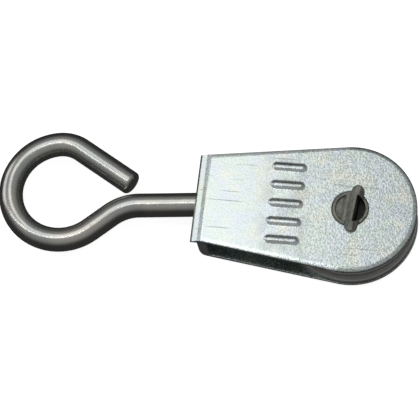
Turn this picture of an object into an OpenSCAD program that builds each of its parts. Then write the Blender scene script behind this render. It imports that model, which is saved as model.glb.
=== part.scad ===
// Eye pulley: a grooved wheel on a staked pin, inside a folded strap with a swivelling wire eye.
// The pulley lies flat. +X runs from the bridge of the strap to its round end, and +Z runs along the pin.
// The origin is on the pin's axis, halfway between the two cheeks.

/* [Strap] */
// Thickness of the folded steel strip
sheet_t = 1; // [0.8:0.1:1.3]
// Radius of the round end of each cheek
cheek_r = 13; // [12:0.5:16]
// Distance from the pin to the tip of the strap's nose
reach = 30.7; // [28:0.1:40]
// Width of the strip at the bridge
neck_w = 18.2; // [12:0.2:22]
// Clear gap between the two cheeks
gap_w = 6.6; // [6.2:0.1:9]
// Outer radius of the lower fold
fold_r = 2; // [1.6:0.1:3]
// Length of the sloped nose, from its crease on the upper cheek to its tip
nose_len = 2.3; // [2.3:0.1:2.8]
// Outer radius of the nose's tip
nose_r = 1; // [0.8:0.1:1.2]
// Overhang of the nose past the bridge's outer face
nose_over = 0.9; // [0.4:0.1:0.9]
// Flat length of the turned-in edges past their bend
curl_len = 1; // [0.4:0.1:2]
// Relief gap between the turned-in edges and the upper cheek
relief = 0.3; // [0.2:0.1:0.5]

/* [Stamped beads] */
// Number of plain beads in the row across the upper cheek
bead_count = 5; // [1:1:5]
// Length of one bead, along the strap
bead_len = 6.8; // [3:0.2:9]
// Width of one bead
bead_w = 1.8; // [1:0.1:2.4]
// Distance between neighbouring beads
bead_pitch = 3.8; // [2.6:0.1:4]
// Height of a bead above the cheek
bead_h = 0.35; // [0.2:0.05:0.5]
// Distance from the pin to the middle of the row
bead_x = 12.7; // [10:0.1:16]

/* [Wheel] */
// Distance from the wheel's rim out to the edge of the cheeks' round end
wheel_inset = 0.1; // [0.05:0.05:0.5]
// Radius at the bottom of the groove
groove_r = 8.6; // [7.6:0.1:9]
// Width of each lip at the rim
lip_w = 1.1; // [0.7:0.1:1.4]
// Radius of the round bottom of the groove
groove_root = 1.4; // [1:0.1:1.5]
// Radius of the hub boss
hub_r = 5.6; // [4.8:0.1:6]
// Height of the hub boss above the rim's side
hub_proud = 0.25; // [0.1:0.05:0.4]
// Depth of the dished web on each side
web_depth = 0.7; // [0.3:0.1:1]
// Free play of the wheel under the upper cheek
play_above = 0.7; // [0.2:0.1:1]
// Free play of the wheel over the lower cheek
play_below = 0.1; // [0.1:0.05:0.4]

/* [Pin] */
// Radius of the pin
pin_r = 3.5; // [2.5:0.1:4]
// Running clearance between the pin and the wheel's bore
bore_clear = 0.08; // [0.02:0.01:0.1]
// Gap between the pin and its holes in the cheeks
seat_clear = 0.02; // [0:0.01:0.05]
// Height of the staked blade above the cheek
blade_h = 0.9; // [0.5:0.1:1.2]
// Width of the blade where it meets the cheek
blade_w = 2.8; // [2:0.1:3.2]
// Width of the blade's crest
crest_w = 1; // [0.6:0.1:1.4]
// Reach of each ear past the pin's hole
ear_reach = 1.5; // [0.8:0.1:2]
// Turn of the blade away from square to the strap
blade_turn = 6; // [0:1:20]
// Offset of the blade from the pin's centre
blade_shift = 0.8; // [0:0.1:0.8]
// Depth of the punched pockets beside the blade
pocket_depth = 1.3; // [0.6:0.1:1.6]
// Width of the ring left round the pockets
ring_w = 0.7; // [0.4:0.1:1]

/* [Eye] */
// Diameter of the wire
wire_d = 4.8; // [4:0.1:5.4]
// Radius of the loop, to the middle of the wire
loop_r = 10.2; // [8.5:0.1:13]
// Offset of the loop's centre from the shank's axis
loop_off = 3.2; // [2:0.1:4]
// Straight length of the shank outside the bridge
shank_len = 12.4; // [8:0.1:20]
// Radius of the bend between the shank and the loop
shank_bend_r = 9.5; // [8:0.5:11]
// Angle of that bend
shank_bend = 37; // [33:1:40]
// Radius of the tighter bend that closes the loop
close_r = 7; // [5:0.5:8]
// Slope of the straight end that comes back to the shank
tip_slope = 35.5; // [30:0.5:40]
// Gap between the cropped end and the shank's line
tip_gap = 0.1; // [0.1:0.05:1]
// Chamfer of the cropped end
tip_chamfer = 0.8; // [0.3:0.1:1.2]
// Lean of the loose shank in its hole
lean = 5.5; // [0:0.5:6]
// Gap round the leaning shank in the bridge's hole
shank_clear = 0.15; // [0.1:0.05:0.3]
// Gap between the upset head and each cheek
head_clear = 0.25; // [0.15:0.05:0.35]
// Distance from the bridge to the upset head's full width
head_stand = 1.1; // [1:0.1:2]
// Length of the upset head's full width
head_len = 1.4; // [1:0.1:2.5]

/* [Hidden] */
$fn = 96;

// Faces of the cheeks, and the inside of the folds between them
cheek_in = gap_w / 2;
cheek_out = cheek_in + sheet_t;
fold_in = fold_r - sheet_t;
nose_in = 0.6;

// Outer and inner face of the bridge
bridge_out = -reach + nose_over;
bridge_in = bridge_out + sheet_t;

// The nose falls from its crease in two flats, and the second runs out into the round tip
flat_1 = 0.8;
slope_1 = 10;
slope_2 = 25;
flat_2 = nose_len - flat_1 - nose_r * (1 - sin(slope_2));
crease_x = -reach + nose_len;
ridge_z = cheek_out - flat_1 * tan(slope_1);
tip_z = ridge_z - flat_2 * tan(slope_2);
nose_z = tip_z - nose_r * cos(slope_2);

// The strip is parallel up to the crease, and from there its edges run out at a tangent to the round end
corner_reach = norm([crease_x, neck_w / 2]);
tangent_at = atan2(neck_w / 2, crease_x) - acos(cheek_r / corner_reach);

// The turned-in edges bend back as far as the crease, and stop short of the upper cheek
curl_r = nose_len - nose_over;
curl_top = cheek_in - relief;
curl_end = bridge_out + curl_r + curl_len;

// The shank turns about an axis through the middle of the bridge's hole
pivot_x = bridge_out + sheet_t / 2;
wire_r = wire_d / 2;
// Straight runs are a hair thicker than the bends and lap over them, so that they fuse cleanly
hair = 0.01;
run_r = wire_r + hair;
lap = 0.15;
hole_r = wire_r / cos(lean) + sheet_t / 2 * tan(lean) + shank_clear;
head_r = cheek_in - head_clear;
head_at = sheet_t / 2 + head_stand;
head_cone = min(head_r - run_r, 0.7 * head_stand);
head_crown_r = 0.7 * head_r;
head_crown_h = 0.2 * head_r;

// The straight run between the shank's bend and the loop brings the loop's centre to its offset
run_len = (loop_r * cos(shank_bend) - loop_off - shank_bend_r * (1 - cos(shank_bend))) / sin(shank_bend);
// Heading at which the loop tightens towards its cropped end
close_at = 5;
close_y = loop_off + (loop_r - close_r) * cos(close_at) + close_r * cos(tip_slope);
tip_len = (close_y - wire_r - tip_gap - wire_r * cos(tip_slope)) / sin(tip_slope);

// The wheel drops onto the lower cheek, so its middle is a little below the strap's
wheel_r = cheek_r - wheel_inset;
wheel_low = -cheek_in + play_below;
wheel_high = cheek_in - play_above;
wheel_mid = (wheel_low + wheel_high) / 2;
wheel_w = wheel_high - wheel_low;
rim_w = wheel_w - 2 * hub_proud;

// The dished web has sloped flanks, from the hub's foot to a narrow land inside the groove
web_slope = 0.6;
web_land = 0.3;
web_start = hub_r;
web_end = groove_r - web_land;

// The blade's shoulders are lower than its crest, and its flanks run out to the pockets' floor
blade_len = 2 * (pin_r + ear_reach);
shoulder_h = 0.35 * blade_h;
pocket_start = blade_w / 2 + 0.4;

over = 1;

// Plan of one cheek: a round end, two straight edges that taper to the crease, and the parallel neck
module cheek_plan() {
    circle(r = cheek_r);
    polygon([
        [-reach, -neck_w / 2],
        [crease_x, -neck_w / 2],
        cheek_r * [cos(tangent_at), -sin(tangent_at)],
        cheek_r * [cos(tangent_at), sin(tangent_at)],
        [crease_x, neck_w / 2],
        [-reach, neck_w / 2]
    ]);
}

// Plan of a neck whose two corners are round
module round_neck(inset, radius, end) {
    half = neck_w / 2 - inset;
    left = bridge_out + inset;
    for (side = [-1, 1])
        translate([left + radius, side * (half - radius)])
            circle(r = radius);
    translate([left, -half + radius])
        square([2 * radius, 2 * (half - radius)]);
    translate([left + radius, -half])
        square([end - left - radius, 2 * half]);
}

// Plan below the relief gap: the bridge's side edges are turned in, and the nose is notched at its ends
module curled_plan() {
    nose_half = neck_w / 2 - curl_r;
    round_neck(0, curl_r, curl_end);
    translate([-reach, -nose_half])
        square([nose_len, 2 * nose_half]);
    intersection() {
        cheek_plan();
        translate([crease_x, -cheek_r - over])
            square([reach + cheek_r, 2 * (cheek_r + over)]);
    }
}

// Side outline of the folded strap, open towards +X: a round fold below and the nose above
module outer_outline() {
    translate([bridge_out + fold_r, -cheek_out + fold_r])
        circle(r = fold_r);
    translate([-reach + nose_r, nose_z])
        circle(r = nose_r);
    polygon([
        [bridge_out + fold_r, -cheek_out],
        [cheek_r + over, -cheek_out],
        [cheek_r + over, cheek_out],
        [crease_x, cheek_out],
        [crease_x - flat_1, ridge_z],
        [crease_x - flat_1 - flat_2, tip_z],
        [-reach, nose_z],
        [bridge_out, nose_z],
        [bridge_out, -cheek_out + fold_r]
    ]);
}

// Side outline of the room between the cheeks, open towards +X
module inner_outline() {
    translate([bridge_in + fold_in, -cheek_in + fold_in])
        circle(r = fold_in);
    translate([bridge_in + nose_in, cheek_in - nose_in])
        circle(r = nose_in);
    polygon([
        [bridge_in + fold_in, -cheek_in],
        [cheek_r + 2 * over, -cheek_in],
        [cheek_r + 2 * over, cheek_in],
        [bridge_in + nose_in, cheek_in],
        [bridge_in, cheek_in - nose_in],
        [bridge_in, -cheek_in + fold_in]
    ]);
}

// A side outline drawn out across the strap
module across() {
    rotate([90, 0, 0])
        linear_extrude(height = 2 * (cheek_r + over), center = true)
            children();
}

module bead() {
    // A bead is the cap of a capsule whose axis lies below the cheek's face
    capsule_r = (bead_h * bead_h + bead_w * bead_w / 4) / (2 * bead_h);
    half_run = (bead_len - bead_w) / 2;
    intersection() {
        translate([0, 0, bead_h - capsule_r]) {
            for (side = [-1, 1])
                translate([side * half_run, 0, 0])
                    sphere(r = capsule_r);
            rotate([0, 90, 0])
                cylinder(r = capsule_r, h = 2 * half_run, center = true);
        }
        translate([-bead_len, -bead_w, -sheet_t / 2])
            cube([2 * bead_len, 2 * bead_w, sheet_t]);
    }
}

module housing() {
    color([0.80, 0.82, 0.80]) {
        difference() {
            intersection() {
                across()
                    outer_outline();
                union() {
                    translate([0, 0, curl_top])
                        linear_extrude(height = cheek_out - curl_top + over)
                            cheek_plan();
                    translate([0, 0, -cheek_out - over])
                        linear_extrude(height = curl_top + cheek_out + over)
                            curled_plan();
                }
            }
            intersection() {
                across()
                    inner_outline();
                union() {
                    translate([-reach, -cheek_r - over, curl_top])
                        cube([reach + cheek_r + over, 2 * (cheek_r + over), cheek_out]);
                    translate([curl_end, -cheek_r - over, -cheek_out])
                        cube([cheek_r - curl_end + over, 2 * (cheek_r + over), 2 * cheek_out]);
                    translate([0, 0, -cheek_out])
                        linear_extrude(height = 2 * cheek_out)
                            round_neck(sheet_t, curl_r - sheet_t, curl_end + over);
                }
            }
            cylinder(r = pin_r + seat_clear, h = 2 * cheek_out + 2 * over, center = true);
            translate([pivot_x, 0, 0])
                rotate([0, 90, 0])
                    cylinder(r = hole_r, h = sheet_t + 2 * over, center = true);
        }
        for (i = [0 : bead_count - 1])
            translate([-bead_x, (i - (bead_count - 1) / 2) * bead_pitch, cheek_out])
                bead();
    }
}

// One straight run of wire along +X, which carries its children at its end
module straight(length, lap_start = lap, lap_end = lap) {
    translate([-lap_start, 0, 0])
        rotate([0, 90, 0])
            cylinder(r = run_r, h = lap_start + length + lap_end);
    translate([length, 0, 0])
        children();
}

// One bend of the wire, to the left when the turn is positive, which carries its children at its end
module bend(radius, turn) {
    side = sign(turn);
    translate([0, side * radius, 0]) {
        rotate([0, 0, side > 0 ? -90 : 90 + turn])
            rotate_extrude(angle = abs(turn))
                translate([radius, 0])
                    circle(r = wire_r);
        rotate([0, 0, turn])
            translate([0, -side * radius, 0])
                children();
    }
}

// The upset end of the wire: a cone, a round head and a chamfered back, about +X
module shank_head() {
    rotate([0, 90, 0])
        rotate_extrude()
            polygon([
                [0, 0],
                [run_r, 0],
                [run_r, head_at - head_cone],
                [head_r, head_at],
                [head_r, head_at + head_len],
                [head_crown_r, head_at + head_len + head_crown_h],
                [0, head_at + head_len + head_crown_h]
            ]);
}

// The chamfer of the wire's cropped end, about +X
module cropped_end() {
    rotate([0, 90, 0])
        cylinder(r1 = run_r, r2 = run_r - tip_chamfer, h = tip_chamfer);
}

module eye() {
    color([0.62, 0.63, 0.62])
        translate([pivot_x, 0, 0])
            rotate([0, 0, lean]) {
                shank_head();
                rotate([0, 0, 180])
                    straight(sheet_t / 2 + shank_len, lap_start = 0)
                        bend(shank_bend_r, shank_bend)
                            straight(run_len)
                                bend(loop_r, close_at - 180 - shank_bend)
                                    straight(0)
                                        bend(close_r, -tip_slope - close_at)
                                            straight(tip_len - tip_chamfer, lap_end = 0)
                                                cropped_end();
            }
}

module wheel() {
    color([0.58, 0.59, 0.60])
        translate([0, 0, wheel_mid])
            rotate_extrude()
                difference() {
                    union() {
                        translate([pin_r + bore_clear, -wheel_w / 2])
                            square([hub_r - pin_r - bore_clear, wheel_w]);
                        translate([pin_r + bore_clear, -rim_w / 2])
                            square([wheel_r - pin_r - bore_clear, rim_w]);
                    }
                    for (side = [-1, 1])
                        polygon([
                            [web_start, side * (rim_w / 2 + over)],
                            [web_start, side * rim_w / 2],
                            [web_start + web_slope, side * (rim_w / 2 - web_depth)],
                            [web_end - web_slope, side * (rim_w / 2 - web_depth)],
                            [web_end, side * rim_w / 2],
                            [web_end, side * (rim_w / 2 + over)]
                        ]);
                    translate([groove_r + groove_root, 0])
                        circle(r = groove_root);
                    polygon([
                        [groove_r + groove_root, -groove_root],
                        [wheel_r, -rim_w / 2 + lip_w],
                        [wheel_r + over, -rim_w / 2 + lip_w],
                        [wheel_r + over, rim_w / 2 - lip_w],
                        [wheel_r, rim_w / 2 - lip_w],
                        [groove_r + groove_root, groove_root]
                    ]);
                }
}

// Plan of the blade: a bar across the pin with round ends
module blade_plan() {
    half_run = (blade_len - blade_w) / 2;
    for (side = [-1, 1])
        translate([0, side * half_run])
            circle(r = blade_w / 2);
    square([blade_w, 2 * half_run], center = true);
}

// One staked end of the pin, above the cheek's face at z = 0
module staked_end() {
    difference() {
        union() {
            translate([0, 0, -pocket_depth - over])
                cylinder(r = pin_r, h = pocket_depth + over);
            rotate([0, 0, -blade_turn])
                translate([blade_shift, 0, 0])
                    intersection() {
                        linear_extrude(height = blade_h)
                            blade_plan();
                        rotate([90, 0, 0])
                            linear_extrude(height = blade_len + over, center = true)
                                polygon([
                                    [-blade_w / 2, -over],
                                    [-blade_w / 2, shoulder_h],
                                    [-crest_w / 2, blade_h],
                                    [crest_w / 2, blade_h],
                                    [blade_w / 2, shoulder_h],
                                    [blade_w / 2, -over]
                                ]);
                    }
        }
        for (side = [-1, 1])
            intersection() {
                translate([0, 0, -pocket_depth])
                    cylinder(r = pin_r - ring_w, h = pocket_depth + blade_h + over);
                rotate([0, 0, -blade_turn])
                    translate([blade_shift, 0, 0])
                        rotate([90, 0, 0])
                            linear_extrude(height = blade_len + over, center = true)
                                polygon([
                                    [side * crest_w / 2, blade_h + over],
                                    [side * crest_w / 2, blade_h],
                                    [side * pocket_start, -pocket_depth],
                                    [side * 2 * pin_r, -pocket_depth],
                                    [side * 2 * pin_r, blade_h + over]
                                ]);
            }
    }
}

module axle() {
    color([0.42, 0.43, 0.40]) {
        cylinder(r = pin_r, h = 2 * (cheek_out - pocket_depth - over / 2), center = true);
        for (flip = [0, 180])
            rotate([flip, 0, 0])
                translate([0, 0, cheek_out])
                    staked_end();
    }
}

housing();
eye();
wheel();
axle();
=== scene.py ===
# %% [markdown]
# # An eye pulley in bright zinc plate
# The pulley is a folded steel strap with a grooved wheel on a staked pin, and an eye bent from one wire.
# The imported model is loaded first, because every piece modelled here takes its place and its main sizes
# from it. Each piece is then modelled again with softer edges and finer surfaces than the imported solid
# has.

import math

import bmesh
import bpy
from mathutils import Matrix, Vector


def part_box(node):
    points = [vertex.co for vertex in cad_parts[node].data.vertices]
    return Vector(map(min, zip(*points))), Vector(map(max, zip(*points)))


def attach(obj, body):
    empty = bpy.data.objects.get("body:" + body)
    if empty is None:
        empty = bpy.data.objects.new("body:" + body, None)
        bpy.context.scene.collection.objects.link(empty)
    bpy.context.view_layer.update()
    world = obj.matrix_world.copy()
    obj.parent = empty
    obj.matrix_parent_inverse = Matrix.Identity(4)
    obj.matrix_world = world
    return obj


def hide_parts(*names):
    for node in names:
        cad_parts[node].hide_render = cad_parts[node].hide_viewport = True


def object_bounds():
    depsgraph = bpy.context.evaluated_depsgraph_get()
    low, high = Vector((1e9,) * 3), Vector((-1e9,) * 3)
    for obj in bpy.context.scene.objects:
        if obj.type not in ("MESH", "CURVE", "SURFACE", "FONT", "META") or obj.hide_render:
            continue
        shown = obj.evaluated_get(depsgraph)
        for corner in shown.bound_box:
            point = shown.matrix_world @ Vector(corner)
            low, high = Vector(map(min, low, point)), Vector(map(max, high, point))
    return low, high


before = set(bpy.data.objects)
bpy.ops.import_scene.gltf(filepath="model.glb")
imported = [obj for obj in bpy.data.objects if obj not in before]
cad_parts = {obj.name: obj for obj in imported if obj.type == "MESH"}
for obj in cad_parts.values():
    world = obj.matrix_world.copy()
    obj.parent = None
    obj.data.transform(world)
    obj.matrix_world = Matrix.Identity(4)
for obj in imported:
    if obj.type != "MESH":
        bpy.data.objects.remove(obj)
cad_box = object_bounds()
print("solid model, low and high corners:", cad_box)

# %% [markdown]
# ## Sizes
# Modelling is easier in millimetres, where merge distances and bevels have plain values, so each piece is
# made a thousand times too large and shrunk at the end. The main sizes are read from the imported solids.
# What a box can't tell, such as the thickness of the sheet, is named here once.

# %% Main sizes in millimetres
MM = 0.001


def box_mm(node):
    """Lowest and highest corner of a solid, in millimetres."""
    low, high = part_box(node)
    return low / MM, high / MM


strap_low, strap_high = box_mm("housing")
wheel_low, wheel_high = box_mm("wheel")
pin_top = box_mm("axle")[1].z

CHEEK_R = strap_high.x
REACH = -strap_low.x
CHEEK_OUT = -strap_low.z
BEAD_H = strap_high.z - CHEEK_OUT
SHEET_T = 1.0
CHEEK_IN = CHEEK_OUT - SHEET_T
PIN_R = 3.5
BLADE_H = pin_top - CHEEK_OUT
BEAD_X = -12.7
WIRE_R = 2.4
LEAN = math.radians(5.5)

# The nose of the strap hangs over the bridge, and the bridge's side edges are turned in behind its crease.
NOSE_LEN = 2.3
NOSE_OVER = 0.9
CREASE_X = -REACH + NOSE_LEN
BRIDGE_OUT = -REACH + NOSE_OVER
BRIDGE_IN = BRIDGE_OUT + SHEET_T
PIVOT_X = BRIDGE_OUT + SHEET_T / 2
print("cheek radius", round(CHEEK_R, 2), "reach", round(REACH, 2), "cheek face", round(CHEEK_OUT, 2))

# %% [markdown]
# ## Camera
# The photograph looks down on the flat pulley from its lower right, from about 43 cm away and with a long
# lens. The two tilts and the roll were worked out from the ellipse of the pin's hole and from the slopes of
# the strap's edges. A camera's own axes are its right, its up and the direction back towards it, so the
# three vectors below are the columns of its turn.

# %% Camera at the photograph's angle
TILT_RIGHT = math.radians(8.0)
TILT_DOWN = math.radians(19.7)
ROLL = math.radians(7.3)
DISTANCE = 0.4285
AIM = Vector((-0.02795, -0.00102, 0))
FRAME_PIXELS = 420
FOCAL_PIXELS = 2166
SENSOR_MM = 36


def add_camera():
    back = Vector((math.sin(TILT_RIGHT), -math.sin(TILT_DOWN), 0))
    back.z = math.sqrt(1 - back.length_squared)
    level = Vector((0, 1, 0)).cross(back).normalized()
    rise = back.cross(level)
    right = level * math.cos(ROLL) + rise * math.sin(ROLL)
    up = rise * math.cos(ROLL) - level * math.sin(ROLL)
    turn = Matrix((right, up, back)).transposed().to_4x4()
    camera_data = bpy.data.cameras.new("photo_camera")
    camera_data.sensor_width = SENSOR_MM
    camera_data.lens = SENSOR_MM * FOCAL_PIXELS / FRAME_PIXELS
    camera_data.clip_start = 0.01
    camera = bpy.data.objects.new("photo_camera", camera_data)
    camera.matrix_world = Matrix.Translation(AIM + back * DISTANCE) @ turn
    bpy.context.scene.collection.objects.link(camera)
    bpy.context.scene.camera = camera
    return camera


camera = add_camera()
print("lens in mm:", round(camera.data.lens, 1))

# %% [markdown]
# ## Working by hand, in code
# Every operator acts on what is selected, so a script needs a few habits. Everything is deselected before a
# new primitive is added. In edit mode, faces, edges or points are chosen by a test on their place, and then
# the same operator is called that a hand would use. The helpers below do only that.

# %% Helpers for selecting and editing


def deselect_all():
    if bpy.context.object and bpy.context.object.mode != "OBJECT":
        bpy.ops.object.mode_set(mode="OBJECT")
    bpy.ops.object.select_all(action="DESELECT")


def select_only(piece):
    deselect_all()
    bpy.context.view_layer.objects.active = piece
    piece.select_set(True)


def start_editing(piece):
    select_only(piece)
    bpy.ops.object.mode_set(mode="EDIT")
    bpy.ops.mesh.select_mode(type="VERT")


def pick(piece, test, kind="VERT", sharper=0):
    """Selects the points, edges or faces whose middle passes the test, and returns how many there are.

    Edges can also be asked to be sharper than an angle in degrees.
    """
    mesh = bmesh.from_edit_mesh(piece.data)
    bpy.context.tool_settings.mesh_select_mode = (kind == "VERT", kind == "EDGE", kind == "FACE")
    mesh.select_mode = {kind}
    for group in (mesh.verts, mesh.edges, mesh.faces):
        for item in group:
            item.select_set(False)
    items = {"VERT": mesh.verts, "EDGE": mesh.edges, "FACE": mesh.faces}[kind]
    count = 0
    for item in items:
        if kind == "VERT":
            middle = item.co
        elif kind == "EDGE":
            middle = (item.verts[0].co + item.verts[1].co) / 2
            if item.calc_face_angle(0.0) < math.radians(sharper):
                continue
        else:
            middle = item.calc_center_median()
        if test(middle):
            item.select_set(True)
            count += 1
    mesh.select_flush_mode()
    bmesh.update_edit_mesh(piece.data)
    return count


def apply_transform():
    """Writes the selected piece's place, turn and scale into its points."""
    bpy.ops.object.transform_apply(location=True, rotation=True, scale=True)


def extrude(step):
    bpy.ops.mesh.extrude_region_move(TRANSFORM_OT_translate={"value": step})


def resize(factors, centre):
    bpy.ops.transform.resize(value=factors, center_override=centre)


# %% [markdown]
# ### From millimetres to a dressed piece
# A finished piece has its true size, no doubled points and all its faces outwards. Smooth shading alone
# would make its flats look swollen near the bevels, so the normals are weighted towards the large faces.
# Only then does the piece get its finish, ride on its body and stand in for its solid.

# %% Helpers for finishing a piece


def use_modifier(piece, kind, **settings):
    """Adds a modifier, sets it and applies it."""
    select_only(piece)
    modifier = piece.modifiers.new(kind.lower(), kind)
    for name, value in settings.items():
        setattr(modifier, name, value)
    bpy.ops.object.modifier_apply(modifier=modifier.name)


def finish_mesh(piece, name, smooth_angle):
    """Merges doubles, turns the faces outwards, shrinks the piece to metres and weights its normals."""
    start_editing(piece)
    bpy.ops.mesh.select_all(action="SELECT")
    bpy.ops.mesh.remove_doubles(threshold=0.0005)
    bpy.ops.mesh.normals_make_consistent(inside=False)
    bpy.ops.object.mode_set(mode="OBJECT")
    piece.scale = (MM, MM, MM)
    apply_transform()
    bpy.ops.object.shade_smooth_by_angle(angle=math.radians(smooth_angle))
    use_modifier(piece, "WEIGHTED_NORMAL", keep_sharp=True)
    piece.name = name
    piece.data.name = name
    print(name, "faces:", len(piece.data.polygons))
    return piece


def seat(piece, body, node, material):
    """Dresses a finished piece, lets it ride on its body and puts it in place of its solid."""
    piece.data.materials.clear()
    piece.data.materials.append(material)
    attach(piece, body)
    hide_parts(node)
    print(piece.name, "rides on", body, "and replaces", node)


# %% [markdown]
# ## Materials as expressions
# A material is a small program. Wrapping a socket in a class that knows how to add, subtract and multiply
# lets the program be written as a formula, and every operator adds one Math node. Colours must not pass
# through a Math node, because it turns them grey, so they go through the one method that adds any other
# node.

# %% A socket that can be calculated with


class Wire:
    """An output socket of a node. Its operators add Math nodes."""

    def __init__(self, recipe, socket):
        self.recipe = recipe
        self.socket = socket

    def calculate(self, operation, *values):
        node = self.recipe.tree.nodes.new("ShaderNodeMath")
        node.operation = operation
        for entry, value in zip(node.inputs, values):
            self.recipe.plug(entry, value)
        return Wire(self.recipe, node.outputs[0])

    def __add__(self, other):
        return self.calculate("ADD", self, other)

    def __radd__(self, other):
        return self.calculate("ADD", other, self)

    def __sub__(self, other):
        return self.calculate("SUBTRACT", self, other)

    def __rsub__(self, other):
        return self.calculate("SUBTRACT", other, self)

    def __mul__(self, other):
        return self.calculate("MULTIPLY", self, other)

    def size(self):
        """The value without its sign."""
        return self.calculate("ABSOLUTE", self)


class Recipe:
    """A material under construction."""

    def __init__(self, name):
        self.material = bpy.data.materials.new(name)
        self.material.use_nodes = True
        self.tree = self.material.node_tree
        self.tree.nodes.clear()

    def plug(self, entry, value):
        if isinstance(value, Wire):
            self.tree.links.new(value.socket, entry)
        else:
            entry.default_value = value

    def node(self, kind, settings=None, inputs=None, output=0):
        """Adds any node: its settings first, then its sockets. Returns one output as a wire."""
        node = self.tree.nodes.new("ShaderNode" + kind)
        for name, value in (settings or {}).items():
            setattr(node, name, value)
        for name, value in (inputs or {}).items():
            self.plug(node.inputs[name], value)
        return Wire(self, node.outputs[output])

    def place(self, scale=(1, 1, 1), offset=(0, 0, 0), turn=(0, 0, 0)):
        """Object coordinates in millimetres, stretched, turned and moved."""
        here = self.node("TexCoord", output="Object")
        factors = tuple(1 / MM * s for s in scale)
        inputs = {"Vector": here, "Scale": factors, "Location": offset, "Rotation": turn}
        return self.node("Mapping", {}, inputs)

    def noise(self, where, scale, detail, rough=0.5, distort=0.0):
        inputs = {"Vector": where, "Scale": scale, "Detail": detail}
        inputs.update({"Roughness": rough, "Distortion": distort})
        return self.node("TexNoise", {}, inputs, "Fac")

    def ramp(self, value, low, high):
        """Stretches the part of a value between low and high over 0 to 1."""
        inputs = {"Value": value, "From Min": low, "From Max": high, "To Min": 0.0, "To Max": 1.0}
        return self.node("MapRange", {"interpolation_type": "SMOOTHSTEP"}, inputs, "Result")

    def blend(self, factor, first, second, how="MIX"):
        """A colour between two colours, or the first one multiplied by the second."""
        node = self.tree.nodes.new("ShaderNodeMix")
        node.data_type = "RGBA"
        node.blend_type = how
        self.plug(node.inputs["Factor"], factor)
        self.plug(node.inputs[6], first)
        self.plug(node.inputs[7], second)
        return Wire(self, node.outputs[2])

    def metal(self, colour, roughness, height, depth_mm):
        """The shader of a bare or plated metal, with a bump whose height is in millimetres."""
        bump = self.node("Bump", {}, {"Height": height, "Distance": depth_mm * MM, "Strength": 1.0}, "Normal")
        shader = self.tree.nodes.new("ShaderNodeBsdfPrincipled")
        shader.inputs["Metallic"].default_value = 1.0
        self.plug(shader.inputs["Base Color"], colour)
        self.plug(shader.inputs["Roughness"], roughness)
        self.plug(shader.inputs["Normal"], bump)
        output = self.tree.nodes.new("ShaderNodeOutputMaterial")
        self.tree.links.new(shader.outputs[0], output.inputs["Surface"])
        return self.material


# %% [markdown]
# ## Zinc plate on rolled sheet
# Bright zinc is a thin electroplated skin. It copies the rolled grain of the sheet below, it is passivated
# in faint blue, green and straw tints that drift over a few millimetres, and handling leaves fine scratches
# along the strap. Three tints are blended by two slow noises. The fine grain goes to the bump and fades
# towards the folds. Its darkening fades there too, which is painted light that makes the cheek lighter
# towards the fold. Round the stamped beads the plate is painted darker in soft patches. This is painted
# shade for the changing reflections of the sheet that the stamping has bent. Long thin scratches come from
# a noise that is stretched along X.

# %% Plate on the strap


def strap_plate():
    r = Recipe("zinc_strip")
    here = r.place()
    bands = r.noise(here, 0.26, 1.0, 0.5, 0.6)
    drift = r.noise(r.place(offset=(31, 7, 3)), 0.26, 1.0, 0.5)
    cells = r.noise(here, 2.5, 2.0, 0.6)
    along = r.node("SeparateXYZ", {}, {"Vector": here}, "X")
    # painted light: the grain's darkening fades towards the fold, so the cheek is painted lighter there, and
    # the bump's grain is smoothed there too
    fold_light_and_smoothing = r.ramp(along, -2.0, -24.0)
    tint = r.blend(r.ramp(bands, 0.36, 0.64), (0.84, 0.91, 0.95, 1), (0.85, 0.94, 0.89, 1))
    tint = r.blend(r.ramp(drift, 0.48, 0.75) * 0.8, tint, (0.95, 0.96, 0.86, 1))
    dark_cells = 1.0 - r.ramp(cells, 0.4, 0.6)
    tint = r.blend(dark_cells * (0.95 - fold_light_and_smoothing * 0.6), tint, (0.62, 0.65, 0.64, 1), "MULTIPLY")
    # painted shade: soft darker patches in a band round the beads stand in for the changing reflections of
    # the sheet bent by the stamping
    band = 1.0 - r.ramp((along - BEAD_X).size(), 3.0, 6.5)
    bead_shade_patches = band * r.ramp(r.noise(r.place(offset=(3, 3, 9)), 0.3, 1.0, 0.5), 0.38, 0.62)
    tint = r.blend(bead_shade_patches * 0.5, tint, (0.68, 0.68, 0.65, 1), "MULTIPLY")
    scratch_noise = r.noise(r.place(scale=(0.06, 2.2, 1), turn=(0, 0, 0.04)), 1.3, 2.0, 0.5)
    scratches = r.ramp(scratch_noise, 0.66, 0.74)
    tint = r.blend(scratches * 0.35, tint, (0.5, 0.52, 0.5, 1))
    roughness = 0.2 + cells * 0.14 + scratches * 0.12
    height = cells * (1.0 - fold_light_and_smoothing * 0.5) - scratches * 0.25
    return r.metal(tint, roughness, height, 0.045)


# %% [markdown]
# ## Plate on the wire, the wheel and the pin
# The wire was drawn through a die, so it is smoother than the sheet and its highlight is a sharp line. The
# wheel is hidden in the strap and duller. The pin's ends were crushed by a punch, which broke the plate and
# left a dull olive grey with a torn grain. Little light reaches the floor of a deep pocket, so the tint
# darkens with depth.

# %% Plate on the other pieces


def wire_plate():
    r = Recipe("zinc_wire")
    here = r.place()
    slow = r.noise(here, 0.18, 2.0, 0.5, 0.4)
    grain = r.noise(here, 3.0, 3.0, 0.6)
    tint = r.blend(r.ramp(slow, 0.35, 0.65), (0.51, 0.53, 0.51, 1), (0.62, 0.60, 0.55, 1))
    pits = r.ramp(r.noise(here, 1.4, 3.0, 0.6), 0.66, 0.76)
    tint = r.blend(pits * 0.4, tint, (0.34, 0.34, 0.32, 1))
    roughness = 0.19 + grain * 0.08 + pits * 0.15
    return r.metal(tint, roughness, grain * 0.4 + slow * 2.0, 0.02)


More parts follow.
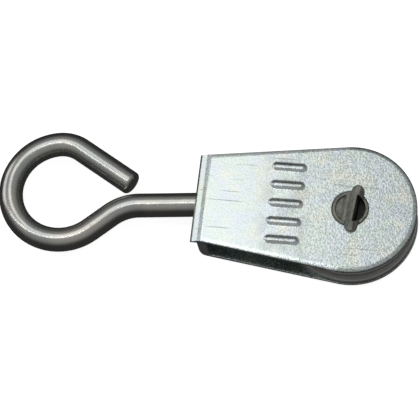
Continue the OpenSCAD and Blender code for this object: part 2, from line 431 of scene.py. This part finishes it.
def wheel_plate():
    r = Recipe("zinc_wheel")
    here = r.place()
    slow = r.noise(here, 0.4, 2.0, 0.5)
    grain = r.noise(here, 3.5, 3.0, 0.6)
    tint = r.blend(slow, (0.66, 0.67, 0.66, 1), (0.76, 0.76, 0.70, 1))
    return r.metal(tint, 0.55 + grain * 0.14, grain, 0.02)


def pin_plate():
    r = Recipe("crushed_pin")
    here = r.place()
    slow = r.noise(here, 0.55, 2.0, 0.5, 0.5)
    torn = r.noise(here, 1.6, 4.0, 0.7, 0.8)
    grain = r.noise(here, 5.0, 3.0, 0.6)
    tint = r.blend(r.ramp(slow, 0.35, 0.65), (0.23, 0.24, 0.22, 1), (0.36, 0.36, 0.30, 1))
    tint = r.blend(r.ramp(torn, 0.5, 0.75) * 0.6, tint, (0.47, 0.49, 0.45, 1))
    level = r.node("SeparateXYZ", {}, {"Vector": here}, "Z").size()
    deep = r.ramp(level, CHEEK_OUT - 0.5, CHEEK_OUT - 1.3)
    tint = r.blend(deep, tint, (0.04, 0.045, 0.04, 1))
    return r.metal(tint, 0.36 + torn * 0.2, torn * 1.2 + grain * 0.4, 0.09)


strap_finish = strap_plate()
wire_finish = wire_plate()
wheel_finish = wheel_plate()
pin_finish = pin_plate()
print("finishes:", [m.name for m in bpy.data.materials])

# %% [markdown]
# ## Solid blocks to press and cut with
# Sheet metal is pressed between solid tools, and the strap is made here in the same way: a few closed
# blocks are drawn, and each is kept, cut away or joined. A block is either a box, a cylinder or an outline
# pushed along Y.

# %% Boxes, cylinders and outlines


def box(low, high):
    deselect_all()
    bpy.ops.mesh.primitive_cube_add(size=1, location=(Vector(low) + Vector(high)) / 2)
    piece = bpy.context.object
    piece.scale = Vector(high) - Vector(low)
    apply_transform()
    return piece


def cylinder(radius, length, place=(0, 0, 0), turn=(0, 0, 0), steps=96):
    deselect_all()
    bpy.ops.mesh.primitive_cylinder_add(
        vertices=steps, radius=radius, depth=length, location=place, rotation=turn
    )
    piece = bpy.context.object
    apply_transform()
    return piece


def prism(points, length):
    """An outline in X and Z, pushed along Y."""
    deselect_all()
    bpy.ops.mesh.primitive_circle_add(vertices=len(points), radius=1, fill_type="NGON")
    piece = bpy.context.object
    for vertex, (x, z) in zip(piece.data.vertices, points):
        vertex.co = (x, -length / 2, z)
    start_editing(piece)
    bpy.ops.mesh.select_all(action="SELECT")
    extrude((0, length, 0))
    bpy.ops.mesh.select_all(action="SELECT")
    bpy.ops.mesh.normals_make_consistent(inside=False)
    bpy.ops.object.mode_set(mode="OBJECT")
    return piece


def arc(centre, radius, start, end, steps):
    """Points on an arc between two angles in degrees."""
    points = []
    for i in range(steps + 1):
        angle = math.radians(start + (end - start) * i / steps)
        points.append((centre[0] + radius * math.cos(angle), centre[1] + radius * math.sin(angle)))
    return points


def combine(piece, other, operation):
    """Cuts, joins or keeps what two closed pieces share, and removes the second."""
    use_modifier(piece, "BOOLEAN", object=other, operation=operation, solver="EXACT")
    bpy.data.objects.remove(other)


# %% [markdown]
# ## The strap
# The real strap is one blank, pressed out as two teardrops joined by a bridge. It is folded twice: softly
# below, and above so tightly that the sheet bulges out over the bridge as a nose. The bridge's side edges
# are turned in. Here a solid with the folded side outline is cut to the plan, and the room between the
# cheeks is cut out of it, which leaves the sheet at its true thickness. Folding a flat sheet would give the
# same form with far more steps.

# %% Side outlines of the folded sheet
FOLD_R = 2.0
FOLD_STEPS = 14
OVER = 3.0
NOSE_R = 1.0
RIDGE_BACK = 0.8
SLOPES = (10, 25)
SOFT = 0.1


def nose_points():
    """From the nose's round tip up two flats to the crease. Ridge and crease are a hair wide."""
    first, second = (math.radians(slope) for slope in SLOPES)
    ridge = Vector((CREASE_X - RIDGE_BACK, CHEEK_OUT - RIDGE_BACK * math.tan(first)))
    run = NOSE_LEN - RIDGE_BACK - NOSE_R * (1 - math.sin(second))
    tip_top = ridge - Vector((run, run * math.tan(second)))
    centre = (-REACH + NOSE_R, tip_top.y - NOSE_R * math.cos(second))
    points = arc(centre, NOSE_R, 264, 90 + SLOPES[1], FOLD_STEPS)
    points += [
        tuple(ridge - SOFT * Vector((math.cos(second), math.sin(second)))),
        tuple(ridge + SOFT * Vector((math.cos(first), math.sin(first)))),
        (CREASE_X - SOFT, CHEEK_OUT - SOFT * math.tan(first)),
        (CREASE_X + SOFT, CHEEK_OUT),
    ]
    return points


def outer_outline():
    right = CHEEK_R + OVER
    fold = arc((BRIDGE_OUT + FOLD_R, FOLD_R - CHEEK_OUT), FOLD_R, 270, 180, FOLD_STEPS)
    return [(right, CHEEK_OUT), (right, -CHEEK_OUT), *fold, *nose_points()]


def room_outline():
    """The room between the cheeks, seen from the side."""
    right = CHEEK_R + 2 * OVER
    fold_in = FOLD_R - SHEET_T
    corner = 0.6
    lower = arc((BRIDGE_IN + fold_in, fold_in - CHEEK_IN), fold_in, 270, 180, FOLD_STEPS)
    upper = arc((BRIDGE_IN + corner, CHEEK_IN - corner), corner, 180, 90, FOLD_STEPS)
    return [(right, CHEEK_IN), (right, -CHEEK_IN), *lower, *upper]


print("points of the outer outline:", len(outer_outline()))

# %% [markdown]
# ### The plan of the cheeks
# Seen from above, each cheek is a teardrop: a round end about the pin, two straight edges that leave it as
# tangents, and a parallel neck at the fold. Just over half a ring of points is kept, its two ends are
# extruded to the fold, the outline is filled and the face is extruded to a tall block.

# %% Plan of the cheeks
NECK_HALF = 9.1
ROUND_STEPS = 192


def plan_block(half_height):
    """A tall block: a round end, straight edges from it to the crease, and a parallel neck."""
    deselect_all()
    bpy.ops.mesh.primitive_circle_add(vertices=ROUND_STEPS, radius=CHEEK_R, fill_type="NOTHING")
    plan = bpy.context.object
    corner = Vector((CREASE_X, NECK_HALF))
    tangent = math.atan2(corner.y, corner.x) - math.acos(CHEEK_R / corner.length)
    tangent_x = CHEEK_R * math.cos(tangent)
    start_editing(plan)
    pick(plan, lambda p: p.x < tangent_x)
    bpy.ops.mesh.delete(type="VERT")
    for side in (1, -1):
        mesh = bmesh.from_edit_mesh(plan.data)
        end = min(mesh.verts, key=lambda v: (v.co.x if v.co.y * side > 0 else 1e9))
        here = end.co.copy()
        pick(plan, lambda p: (p - here).length < 1e-6)
        extrude(Vector((CREASE_X, side * NECK_HALF, 0)) - here)
        extrude((-NOSE_LEN - OVER, 0, 0))
    pick(plan, lambda p: p.x < -REACH - 1)
    bpy.ops.mesh.edge_face_add()
    bpy.ops.mesh.select_all(action="SELECT")
    bpy.ops.mesh.edge_face_add()
    bpy.ops.transform.translate(value=(0, 0, -half_height))
    extrude((0, 0, 2 * half_height))
    bpy.ops.mesh.select_all(action="SELECT")
    bpy.ops.mesh.normals_make_consistent(inside=False)
    bpy.ops.object.mode_set(mode="OBJECT")
    return plan


# %% [markdown]
# ### Roll the rim
# A blanking die draws the sheet's face down at the rim before it shears. This roll is wide and shallow,
# near a quarter of an ellipse, and it gives the rim its dark line. A bevel is as deep as it is wide, so the
# block is stretched upwards first, bevelled, and pressed back to its height.

# %% Bevel wide and shallow
ROLL_W = 0.9
ROLL_DEPTH = 0.38
ROLL_PROFILE = 0.38
ROLL_STEPS = 6
SHARP_ANGLE = 60
NEAR = 0.01


def break_edges(piece, test, width, segments, profile=0.5):
    """Bevels the sharp edges whose middle passes the test."""
    start_editing(piece)
    count = pick(piece, test, "EDGE", SHARP_ANGLE)
    bpy.ops.mesh.bevel(
        offset=width, segments=segments, profile=profile, affect="EDGES", clamp_overlap=False
    )
    bpy.ops.object.mode_set(mode="OBJECT")
    return count


def stretch(piece, factor):
    """Makes a piece taller or flatter by a factor."""
    piece.scale.z = factor
    select_only(piece)
    apply_transform()


def roll_rim(piece):
    """A wide and shallow roll round both cheeks, outside the folds."""
    factor = ROLL_W / ROLL_DEPTH
    face = CHEEK_OUT * factor
    stretch(piece, factor)
    count = break_edges(
        piece, lambda p: abs(abs(p.z) - face) < NEAR, ROLL_W, ROLL_STEPS, profile=ROLL_PROFILE
    )
    stretch(piece, 1 / factor)
    return count


# %% [markdown]
# ### Room between the cheeks
# The turned-in edges of the bridge are walls that stay when the room is cut out, so the block for the room
# is itself cut by two boxes. Below the nose the wall curls round a small radius, so a box less a cylinder
# takes away what is missing at each corner.

# %% Blocks that are cut away
CURL_R = CREASE_X - BRIDGE_OUT
CURL_TOP = CHEEK_IN - 0.3
CURL_END = CREASE_X + 1.0


def corner_cutter(side):
    """What is missing below the nose, where the bridge's side edge turns in."""
    edge = NECK_HALF - CURL_R
    ends = sorted((side * edge, side * (NECK_HALF + OVER)))
    cutter = box((-REACH - OVER, ends[0], -CHEEK_OUT - OVER), (CREASE_X, ends[1], CURL_TOP))
    combine(cutter, cylinder(CURL_R, 4 * CHEEK_OUT, (CREASE_X, side * edge, 0)), "DIFFERENCE")
    return cutter


def room_block():
    room = prism(room_outline(), 4 * CHEEK_R)
    for side in (1, -1):
        ends = sorted((side * (NECK_HALF - SHEET_T), side * 3 * CHEEK_R))
        wall = box((-REACH - OVER, ends[0], -CHEEK_OUT - OVER), (CURL_END, ends[1], CURL_TOP))
        combine(room, wall, "DIFFERENCE")
    return room


# %% [markdown]
# ### Cut and drill
# A press would punch the holes in the flat blank. Here they are cut after the folds, because one cylinder
# then opens both cheeks in line. The inner edges and the rims of the pin's holes come last. They are picked
# by their place and get a small bevel.

# %% Cut the strap out of its blocks
BURR = 0.08
PIN_RIM = 0.3
PLAY = 0.15
PIN_GAP = 0.02


def is_inner_edge(p):
    return abs(abs(p.z) - CHEEK_IN) < NEAR and p.x > CURL_END + 0.1 and p.xy.length > PIN_R + 1


def is_pin_rim(p):
    return abs(abs(p.z) - CHEEK_OUT) < NEAR and abs(p.xy.length - PIN_R) < 0.1


def folded_strap():
    strap = prism(outer_outline(), 4 * CHEEK_R)
    combine(strap, plan_block(2 * CHEEK_OUT), "INTERSECT")
    print("edges of the rims:", roll_rim(strap))
    for side in (1, -1):
        combine(strap, corner_cutter(side), "DIFFERENCE")
    combine(strap, room_block(), "DIFFERENCE")
    combine(strap, cylinder(PIN_R + PIN_GAP, 4 * CHEEK_OUT), "DIFFERENCE")
    hole_r = WIRE_R / math.cos(LEAN) + SHEET_T / 2 * math.tan(LEAN) + PLAY
    bore = cylinder(hole_r, 4 * SHEET_T, (PIVOT_X, 0, 0), (0, math.pi / 2, 0), 72)
    combine(strap, bore, "DIFFERENCE")
    start_editing(strap)
    bpy.ops.mesh.select_all(action="SELECT")
    bpy.ops.mesh.remove_doubles(threshold=0.001)
    bpy.ops.mesh.dissolve_limited(angle_limit=math.radians(0.2))
    bpy.ops.object.mode_set(mode="OBJECT")
    inner = break_edges(strap, is_inner_edge, BURR, 2)
    rims = break_edges(strap, is_pin_rim, PIN_RIM, 4)
    print("edges inside:", inner, "round the pin:", rims)
    return strap


strap = folded_strap()
print("strap after folding:", len(strap.data.polygons), "faces")

# %% [markdown]
# ## Stamped beads
# A row of low beads is pressed across the upper cheek. Seen closely, a pressed bead has no sharp foot: the
# sheet leaves the flat in a small curve, climbs and rounds over to a crest. So the outline is inset again
# and again, each step a little higher along half a wave. One bead is modelled and the others are copies of
# it.

# %% Model one bead and copy it
BEAD_LEN = 6.8
BEAD_W = 1.8
BEAD_COUNT = 5
BEAD_PITCH = 3.8
BEAD_POINTS = 48
BEAD_STEPS = 10
FOOT = 0.15
SUNK = 0.3
CREST_SHARE = 0.9


def one_bead():
    half_w = BEAD_W / 2 + FOOT
    half_run = (BEAD_LEN - BEAD_W) / 2
    deselect_all()
    bpy.ops.mesh.primitive_circle_add(
        vertices=BEAD_POINTS, radius=half_w, fill_type="NGON", rotation=(0, 0, math.pi / BEAD_POINTS)
    )
    bead = bpy.context.object
    apply_transform()
    start_editing(bead)
    for side in (1, -1):
        pick(bead, lambda p: p.x * side > 1e-4)
        bpy.ops.transform.translate(value=(side * half_run, 0, 0))
    pick(bead, lambda p: True, "FACE")
    extrude((0, 0, SUNK))
    rise = 0.0
    for step in range(1, BEAD_STEPS + 1):
        height = BEAD_H * (1 - math.cos(math.pi * step / BEAD_STEPS)) / 2
        bpy.ops.mesh.inset(thickness=CREST_SHARE * half_w / BEAD_STEPS, depth=height - rise)
        rise = height
    bpy.ops.mesh.select_all(action="SELECT")
    bpy.ops.transform.translate(value=(0, 0, CHEEK_OUT - SUNK))
    bpy.ops.object.mode_set(mode="OBJECT")
    return bead


def bead_row():
    first = one_bead()
    start = -(BEAD_COUNT - 1) / 2 * BEAD_PITCH
    beads = []
    for i in range(BEAD_COUNT):
        copy = first.copy()
        copy.data = first.data.copy()
        copy.location = (BEAD_X, start + i * BEAD_PITCH, 0)
        bpy.context.scene.collection.objects.link(copy)
        beads.append(copy)
    bpy.data.objects.remove(first)
    return beads


beads = bead_row()
print("beads:", len(beads), "of", len(beads[0].data.polygons), "faces")

# %% [markdown]
# ### Join the beads
# On the real strap the beads are the sheet itself. Here they stand in the sheet by less than its thickness,
# and one join makes a single piece of them, which then takes the place of the strap's solid.

# %% Join the beads to the strap and put it in place
deselect_all()
for piece in [strap, *beads]:
    piece.select_set(True)
bpy.context.view_layer.objects.active = strap
bpy.ops.object.join()
strap = finish_mesh(strap, "folded_strap", 30)
seat(strap, "strap_body", "housing", strap_finish)

# %% [markdown]
# ## The eye
# The eye is one length of wire: an upset head inside the bridge, a straight shank, a bend, a round loop
# that is not quite closed, a tighter bend and a cropped end. It is modelled in the order in which it was
# bent. A ring of points is extruded along each straight run and spun round the centre of each bend, which
# keeps the wire perfectly round.

# %% A ring that is pushed and bent
STEP_ANGLE = math.radians(2.5)


def heading_vector(heading):
    return Vector((math.cos(heading), math.sin(heading), 0))


class WireBender:
    """Extrudes and spins an open ring of points, and keeps track of where it is and where it points."""

    def __init__(self, place, heading):
        self.place = Vector(place)
        self.heading = heading

    def straight(self, length, scale=1.0):
        """Extrudes the ring forward and makes it wider or narrower there."""
        step = heading_vector(self.heading) * length
        extrude(step)
        self.place += step
        if scale != 1.0:
            resize((scale, scale, scale), self.place)

    def bend(self, radius, turn):
        side = 1 if turn > 0 else -1
        across = heading_vector(self.heading + side * math.pi / 2) * radius
        centre = self.place + across
        steps = max(4, round(abs(turn) / STEP_ANGLE))
        # The operator counts its angle clockwise.
        bpy.ops.mesh.spin(steps=steps, angle=-turn, center=centre, axis=(0, 0, 1))
        self.heading += turn
        self.place = centre - heading_vector(self.heading + side * math.pi / 2) * radius


# %% [markdown]
# ### Bend the eye
# The head is made first, as rings of growing width. Then the wire runs towards the left and is bent three
# times in its plane: at the shank, round the loop and, tighter, towards the cropped end. Each ring of the
# rounded end is a little smaller than the one before. At last the whole eye is turned by the lean that its
# shank has in the hole.

# %% Bend the wire
SHANK = 12.9
SHANK_BEND_R = 9.5
SHANK_BEND = math.radians(37)
LOOP_R = 10.2
LOOP_OFF = 3.2
CLOSE_R = 7.0
CLOSE_AT = math.radians(5)
TIP_SLOPE = math.radians(35.5)
TIP_GAP = 0.1
TIP_CHAMFER = 0.8
TIP_STEPS = 5
HEAD_R = CHEEK_IN - 0.25
HEAD_AT = 1.6
HEAD_LEN = 1.4
WIRE_SIDES = 40
TIP_INSET = 0.25
HEAD_INSET = 0.3
# Rings of the head's domed top, as shares of its radius: how far behind the rim and how wide
DOME = ((0.2, 0.55), (0.12, 0.80), (0.0, 1.0))


def bent_eye():
    deselect_all()
    back = HEAD_AT + HEAD_LEN + DOME[0][0] * HEAD_R
    bpy.ops.mesh.primitive_circle_add(
        vertices=WIRE_SIDES,
        radius=DOME[0][1] * HEAD_R,
        location=(back, 0, 0),
        rotation=(0, math.pi / 2, 0),
    )
    piece = bpy.context.object
    apply_transform()
    start_editing(piece)
    bpy.ops.mesh.select_all(action="SELECT")
    bender = WireBender((back, 0, 0), math.pi)
    for (before, narrow), (after, wide) in zip(DOME, DOME[1:]):
        bender.straight((before - after) * HEAD_R, wide / narrow)
    bender.straight(HEAD_LEN)
    bender.straight(HEAD_R - WIRE_R, WIRE_R / HEAD_R)
    bender.straight(SHANK + HEAD_AT - (HEAD_R - WIRE_R))
    bender.bend(SHANK_BEND_R, SHANK_BEND)
    run = LOOP_R * math.cos(SHANK_BEND) - LOOP_OFF - SHANK_BEND_R * (1 - math.cos(SHANK_BEND))
    bender.straight(run / math.sin(SHANK_BEND))
    bender.bend(LOOP_R, CLOSE_AT - math.pi - SHANK_BEND)
    bender.bend(CLOSE_R, -TIP_SLOPE - CLOSE_AT)
    drop = bender.place.y - WIRE_R - TIP_GAP - WIRE_R * math.cos(TIP_SLOPE)
    bender.straight(drop / math.sin(TIP_SLOPE) - TIP_CHAMFER)
    radius = WIRE_R
    for i in range(1, TIP_STEPS + 1):
        angle = math.pi / 2 * i / TIP_STEPS
        before = math.pi / 2 * (i - 1) / TIP_STEPS
        smaller = WIRE_R - TIP_CHAMFER * (1 - math.cos(angle))
        bender.straight(TIP_CHAMFER * (math.sin(angle) - math.sin(before)), smaller / radius)
        radius = smaller
    bpy.ops.mesh.edge_face_add()
    bpy.ops.mesh.inset(thickness=TIP_INSET)
    tip = bender.place.copy()
    pick(piece, lambda p: p.x > back - 0.001)
    bpy.ops.mesh.edge_face_add()
    bpy.ops.mesh.inset(thickness=HEAD_INSET)
    bpy.ops.object.mode_set(mode="OBJECT")
    piece.rotation_euler = (0, 0, LEAN)
    piece.location = (PIVOT_X, 0, 0)
    apply_transform()
    print("cropped end before the lean at", [round(c, 2) for c in tip])
    return piece


eye = finish_mesh(bent_eye(), "bent_eye", 30)
seat(eye, "eye_body", "eye", wire_finish)

# %% [markdown]
# ## The wheel
# A pulley's wheel is a turned shape, so its section is drawn as a line and spun once round the pin. Half of
# the section is listed from the bore outwards and the other half is its mirror image. The bottom of the
# groove is an arc, and the lips have small rounds that catch the light in the open side of the strap.

# %% Spin the wheel from its section
WHEEL_R = wheel_high.x
WHEEL_MID = (wheel_low.z + wheel_high.z) / 2
WHEEL_HALF = (wheel_high.z - wheel_low.z) / 2
HUB_R = 5.6
RIM_HALF = WHEEL_HALF - 0.25
LIP_W = 1.1
LIP_ROUND = 0.22
LIP_STEPS = 4
GROOVE_R = 8.6
GROOVE_ROOT = 1.4
WEB_DEPTH = 0.7
BORE_R = PIN_R + 0.08
SPIN_STEPS = 144


def half_section():
    """Half of the wheel's section as (radius, height) points, from the bore to the bottom of the groove."""
    points = [
        (BORE_R, 0),
        (BORE_R, WHEEL_HALF - 0.15),
        (BORE_R + 0.15, WHEEL_HALF),
        (HUB_R - 0.15, WHEEL_HALF),
        (HUB_R, WHEEL_HALF - 0.12),
        (HUB_R + 0.05, RIM_HALF - 0.1),
        (HUB_R + 0.6, RIM_HALF - WEB_DEPTH),
        (GROOVE_R - 0.9, RIM_HALF - WEB_DEPTH),
        (GROOVE_R - 0.35, RIM_HALF - 0.08),
        (GROOVE_R - 0.2, RIM_HALF),
    ]
    lip_x = WHEEL_R - LIP_ROUND
    points += arc((lip_x, RIM_HALF - LIP_ROUND), LIP_ROUND, 90, 0, LIP_STEPS)
    points += arc((lip_x, RIM_HALF - LIP_W + LIP_ROUND), LIP_ROUND, 0, -90, LIP_STEPS)
    points += arc((GROOVE_R + GROOVE_ROOT, 0), GROOVE_ROOT, 90, 180, 2 * LIP_STEPS)
    return points


def spun_wheel():
    points = half_section()
    outline = points + [(radius, -height) for radius, height in reversed(points[1:-1])]
    deselect_all()
    bpy.ops.mesh.primitive_circle_add(vertices=len(outline), radius=1)
    wheel = bpy.context.object
    for vertex, (radius, height) in zip(wheel.data.vertices, outline):
        vertex.co = (radius, 0, height + WHEEL_MID)
    start_editing(wheel)
    bpy.ops.mesh.select_all(action="SELECT")
    bpy.ops.mesh.spin(steps=SPIN_STEPS, angle=2 * math.pi, center=(0, 0, 0), axis=(0, 0, 1))
    bpy.ops.object.mode_set(mode="OBJECT")
    return wheel


wheel = finish_mesh(spun_wheel(), "grooved_wheel", 25)
seat(wheel, "wheel_body", "wheel", wheel_finish)

# %% [markdown]
# ## The staked pin
# A punch with two prongs was driven into each end of the pin. It left a deep pocket on one side, a shallow
# one on the other, a ring round them and a crushed blade between them, whose two ears spread over the
# cheek. The blade is made first: a bar with a narrow crest, whose ends are rounded by what it shares with a
# stretched cylinder.

# %% Blade across the pin
BLADE_W = 2.6
CREST_W = 0.8
SHOULDER = 0.35
EAR_REACH = 1.3
BLADE_TURN = math.radians(6)
BLADE_SHIFT = 0.8


def turn_and_shift(piece):
    piece.rotation_euler = (0, 0, -BLADE_TURN)
    piece.location = Matrix.Rotation(-BLADE_TURN, 3, "Z") @ Vector((BLADE_SHIFT, 0, 0))
    select_only(piece)
    apply_transform()
    return piece


def blade():
    """A bar across the pin with a narrow crest and a round ear at each end."""
    length = 2 * (PIN_R + EAR_REACH)
    right = [(BLADE_W / 2, 0), (BLADE_W / 2, BLADE_H * SHOULDER), (CREST_W / 2, BLADE_H)]
    left = [(-x, z) for x, z in reversed(right)]
    bar = prism(right + left, length)
    deselect_all()
    bpy.ops.mesh.primitive_cylinder_add(vertices=48, radius=BLADE_W / 2, depth=4 * BLADE_H)
    plan = bpy.context.object
    start_editing(plan)
    for side in (1, -1):
        pick(plan, lambda p: p.y * side > 1e-4)
        bpy.ops.transform.translate(value=(0, side * (length - BLADE_W) / 2, 0))
    bpy.ops.object.mode_set(mode="OBJECT")
    combine(bar, plan, "INTERSECT")
    return turn_and_shift(bar)


# %% [markdown]
# ### Punch both ends
# The pockets are cut by sloped blocks that end at the ring. The parts of this form are simple solids, but
# the metal has flowed between them. So they are joined, remeshed with small voxels and relaxed, which melts
# the corners together as the press did. The barrel between the two ends is a plain cylinder.

# %% Stake the pin
POCKET_DEPTH = 1.5
# Side, depth, and how far the slope's crest and foot lie from the middle of the blade
POCKETS = ((1, POCKET_DEPTH, 0.1, 0.5), (-1, 0.55, 0.5, 2.6))
RING_W = 0.55
END_DEPTH = 2.6
PUNCH_LEN = 8
BARREL_DOWN = 2.1
VOXEL = 0.085


def staked_end():
    """One end of the pin above the cheek's face at z = 0."""
    end = cylinder(PIN_R, END_DEPTH, (0, 0, -END_DEPTH / 2))
    combine(end, blade(), "UNION")
    for side, depth, crest, foot in POCKETS:
        slope = [
            (side * crest, BLADE_H + 1),
            (side * crest, BLADE_H),
            (side * foot, -depth),
            (side * 2 * PIN_R, -depth),
            (side * 2 * PIN_R, BLADE_H + 1),
        ]
        cutter = turn_and_shift(prism(slope, 4 * PIN_R))
        punch = cylinder(PIN_R - RING_W, PUNCH_LEN, (0, 0, PUNCH_LEN / 2 - POCKET_DEPTH), steps=72)
        combine(cutter, punch, "INTERSECT")
        combine(end, cutter, "DIFFERENCE")
    use_modifier(end, "REMESH", mode="VOXEL", voxel_size=VOXEL, adaptivity=0.0)
    use_modifier(end, "SMOOTH", factor=0.5, iterations=3)
    return end


def staked_pin():
    top = staked_end()
    top.location.z = CHEEK_OUT
    bottom = top.copy()
    bottom.data = top.data.copy()
    bpy.context.scene.collection.objects.link(bottom)
    bottom.rotation_euler = (math.pi, 0, 0)
    bottom.location.z = -CHEEK_OUT
    barrel = cylinder(PIN_R, 2 * (CHEEK_OUT - BARREL_DOWN))
    deselect_all()
    for piece in (barrel, top, bottom):
        piece.select_set(True)
    bpy.context.view_layer.objects.active = barrel
    bpy.ops.object.join()
    return barrel


pin = finish_mesh(staked_pin(), "staked_pin", 60)
seat(pin, "strap_body", "axle", pin_finish)

# %% [markdown]
# ## Floor
# The pulley was photographed on plain white. A glowing sheet lies a fiftieth of a millimetre under it and
# catches its shadow. Reflections leave the sheet out, which keeps the sides of the metal dark as in the
# photograph.

# %% Floor
FLOOR_SIZE = 3.0
FLOOR_GLOW = 0.85
FLOOR_GAP = 0.00002


def add_floor():
    level = cad_box[0][2] - FLOOR_GAP
    deselect_all()
    bpy.ops.mesh.primitive_plane_add(size=FLOOR_SIZE, location=(0, 0, level))
    floor = bpy.context.object
    floor.name = "floor"
    r = Recipe("pale_floor")
    shader = r.tree.nodes.new("ShaderNodeBsdfPrincipled")
    shader.inputs["Base Color"].default_value = (0.88, 0.88, 0.88, 1)
    shader.inputs["Roughness"].default_value = 0.9
    shader.inputs["Specular IOR Level"].default_value = 0.0
    shader.inputs["Emission Color"].default_value = (1, 1, 1, 1)
    shader.inputs["Emission Strength"].default_value = FLOOR_GLOW
    output = r.tree.nodes.new("ShaderNodeOutputMaterial")
    r.tree.links.new(shader.outputs[0], output.inputs["Surface"])
    floor.data.materials.append(r.material)
    floor.visible_glossy = False
    return floor


floor = add_floor()
print("floor at", round(floor.location.z / MM, 2), "mm")

# %% [markdown]
# ## Light
# Polished metal only shows what it reflects, so a light's size and place matter more than its power. One
# long strip draws the sharp line on the wire, a panel overhead whitens the cheek, and a wide one on the
# left lights the nose and the round sides. The room between them is dark at the horizon, which gives the
# wire its dark sides.

# %% Panels and room
MIDDLE = (-0.028, 0, 0)
ROOM_ABOVE = 0.36
ROOM_BELOW = 0.04
ROOM_DARK_UP_TO = 0.1
ROOM_BRIGHT_FROM = 0.9


def add_panel(name, place, size, power, target=MIDDLE):
    light = bpy.data.lights.new(name, "AREA")
    light.shape = "RECTANGLE"
    light.size, light.size_y = size
    light.energy = power
    lamp = bpy.data.objects.new(name, light)
    lamp.location = place
    direction = Vector(target) - Vector(place)
    lamp.rotation_euler = direction.to_track_quat("-Z", "Y").to_euler()
    bpy.context.scene.collection.objects.link(lamp)
    return lamp


def add_room():
    """A plain room that is dark up to the horizon and grows brighter overhead."""
    world = bpy.data.worlds.new("room")
    world.use_nodes = True
    tree = world.node_tree
    where = tree.nodes.new("ShaderNodeTexCoord")
    split = tree.nodes.new("ShaderNodeSeparateXYZ")
    tree.links.new(where.outputs["Generated"], split.inputs[0])
    level = tree.nodes.new("ShaderNodeMapRange")
    level.interpolation_type = "SMOOTHSTEP"
    level.inputs["From Min"].default_value = ROOM_DARK_UP_TO
    level.inputs["From Max"].default_value = ROOM_BRIGHT_FROM
    level.inputs["To Min"].default_value = ROOM_BELOW
    level.inputs["To Max"].default_value = ROOM_ABOVE
    tree.links.new(split.outputs["Z"], level.inputs["Value"])
    tree.links.new(level.outputs["Result"], tree.nodes["Background"].inputs["Color"])
    bpy.context.scene.world = world


add_room()
panels = [
    add_panel("strip", (-0.30, -0.01, 0.50), (0.55, 0.04), 0.26, (-0.30, -0.01, 0)),
    add_panel("ceiling", (-0.13, 0.17, 0.55), (0.21, 0.28), 0.18, (-0.13, 0.17, 0)),
    add_panel("left_panel", (-0.58, 0.20, 0.30), (0.35, 0.30), 0.32),
]
for lamp in panels:
    print(lamp.name, "watts:", round(lamp.data.energy, 2))
bpy.context.scene.view_settings.view_transform = "Standard"
